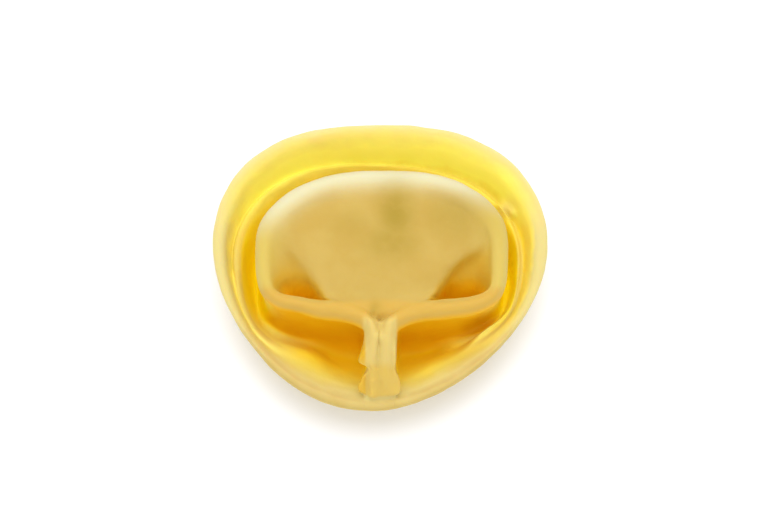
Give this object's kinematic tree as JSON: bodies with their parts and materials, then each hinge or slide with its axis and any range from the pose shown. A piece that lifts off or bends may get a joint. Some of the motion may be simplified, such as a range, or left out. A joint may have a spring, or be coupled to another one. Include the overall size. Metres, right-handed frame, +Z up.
{
  "type": "tortellino",
  "caption": "Filled egg pasta: a folded pouch of dough wrapped into a ring, with a puffed belly, pinched ends and a turned-up brim.",
  "frame": {"origin": "on the table, under the middle of the piece's bounding box", "axes": "+Z up, +Y from the pinched ends towards the puffed belly, X across the piece, along its longest side"},
  "size_m": [0.0302, 0.0262, 0.0139],
  "materials": {
    "egg_dough": "satin"
  },
  "bodies": {
    "root": {"tortellino": "egg_dough"}
  },
  "joints": []
}
